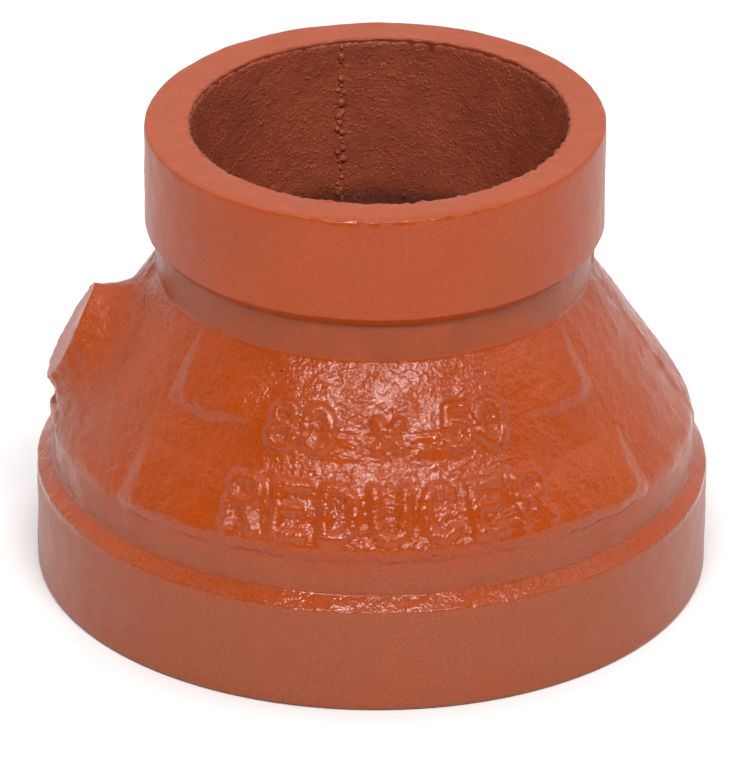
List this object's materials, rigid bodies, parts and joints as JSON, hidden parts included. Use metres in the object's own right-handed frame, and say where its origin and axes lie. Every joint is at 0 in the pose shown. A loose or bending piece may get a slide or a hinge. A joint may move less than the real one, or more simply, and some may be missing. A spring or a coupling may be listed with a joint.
{
  "type": "grooved concentric reducer",
  "caption": "One-piece cast reducer for grooved pipe: a plain land and a key groove at each end, joined by a hollow cone with raised marking plates and a sawn-off gate stub.",
  "frame": {"origin": "centre of the large end face, on the axis of the outside", "axes": "+Z along the pipe axis from the large end to the small end, -Y out through the middle of the raised marking plates, -X out through the gate stub"},
  "size_m": [0.0888, 0.0888, 0.0635],
  "materials": {
    "orange_enamel": "glossy orange dip enamel over an as-cast iron skin, thinner and duller in the waterway"
  },
  "bodies": {
    "root": {"reducer_casting": "orange_enamel"}
  },
  "joints": []
}
